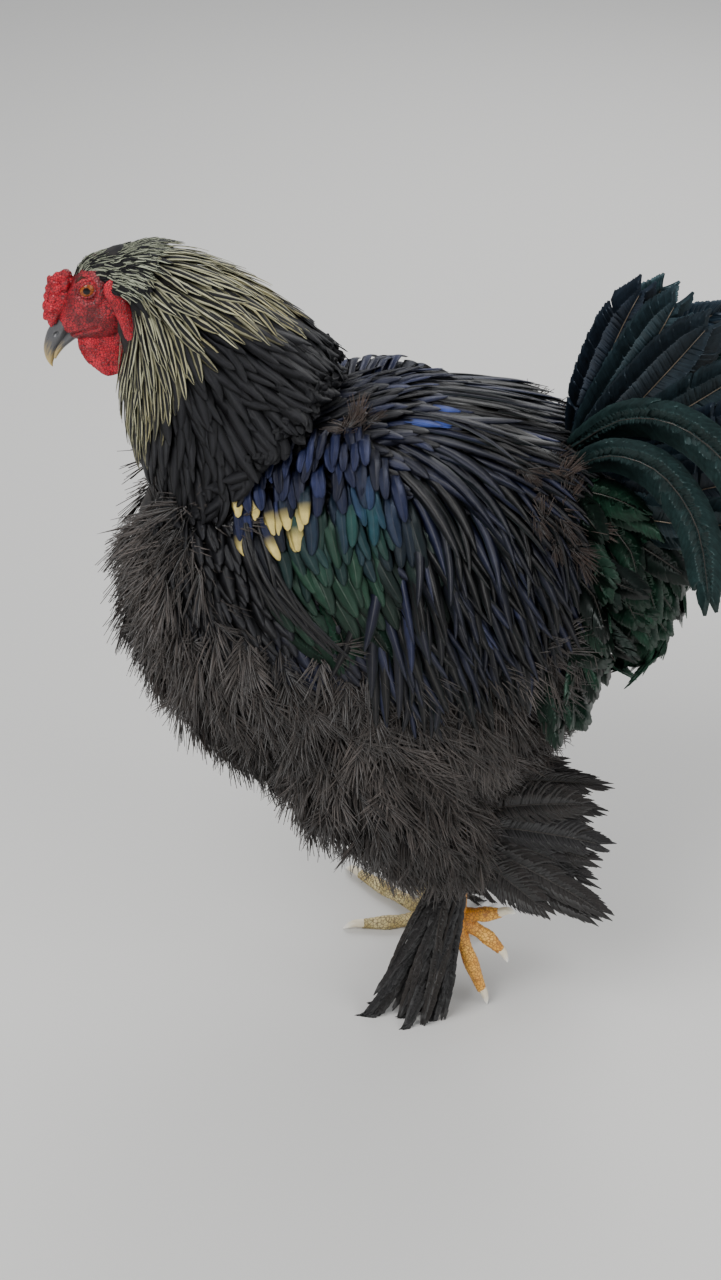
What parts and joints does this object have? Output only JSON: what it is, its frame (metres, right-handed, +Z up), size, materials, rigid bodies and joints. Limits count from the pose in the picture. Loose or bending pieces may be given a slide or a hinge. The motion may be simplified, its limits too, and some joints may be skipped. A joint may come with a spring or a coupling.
{
  "type": "brahma chicken cock, still life-size model",
  "caption": "Still, life-size heavy cock with feathered legs, in mid-step with its neck stretched forward and its tail spread.",
  "frame": {"origin": "the flat under the right foot's pad, on the floor", "axes": "+Z up; the beak points to -X; the bird's left side is towards -Y, and its midline is the plane y = -43 mm"},
  "size_m": [0.4719, 0.2472, 0.542],
  "materials": {
    "face_skin": "satin",
    "comb_skin": "satin",
    "beak_horn": "satin",
    "eye_gloss": "gloss",
    "hackle_feather": "satin",
    "body_feather": "matte",
    "saddle_feather": "satin",
    "wing_feather": "satin",
    "tail_feather": "satin",
    "leg_skin": "satin",
    "claw_horn": "satin"
  },
  "bodies": {
    "root": {"head": "face_skin", "comb": "comb_skin", "beak_upper": "beak_horn", "beak_lower": "beak_horn", "eye_left": "eye_gloss", "eye_right": "eye_gloss", "earlobe_left": "comb_skin", "earlobe_right": "comb_skin", "wattle_left": "comb_skin", "wattle_right": "comb_skin", "neck": "hackle_feather", "torso": "body_feather", "saddle": "saddle_feather", "wing_left": "wing_feather", "wing_right": "wing_feather", "tail": "tail_feather", "thigh_left": "body_feather", "thigh_right": "body_feather", "shank_left": "leg_skin", "shank_right": "leg_skin", "foot_left": "leg_skin", "foot_right": "leg_skin", "claw_left_1": "claw_horn", "claw_left_2": "claw_horn", "claw_left_3": "claw_horn", "claw_left_4": "claw_horn", "claw_right_1": "claw_horn", "claw_right_2": "claw_horn", "claw_right_3": "claw_horn", "claw_right_4": "claw_horn"}
  },
  "joints": []
}
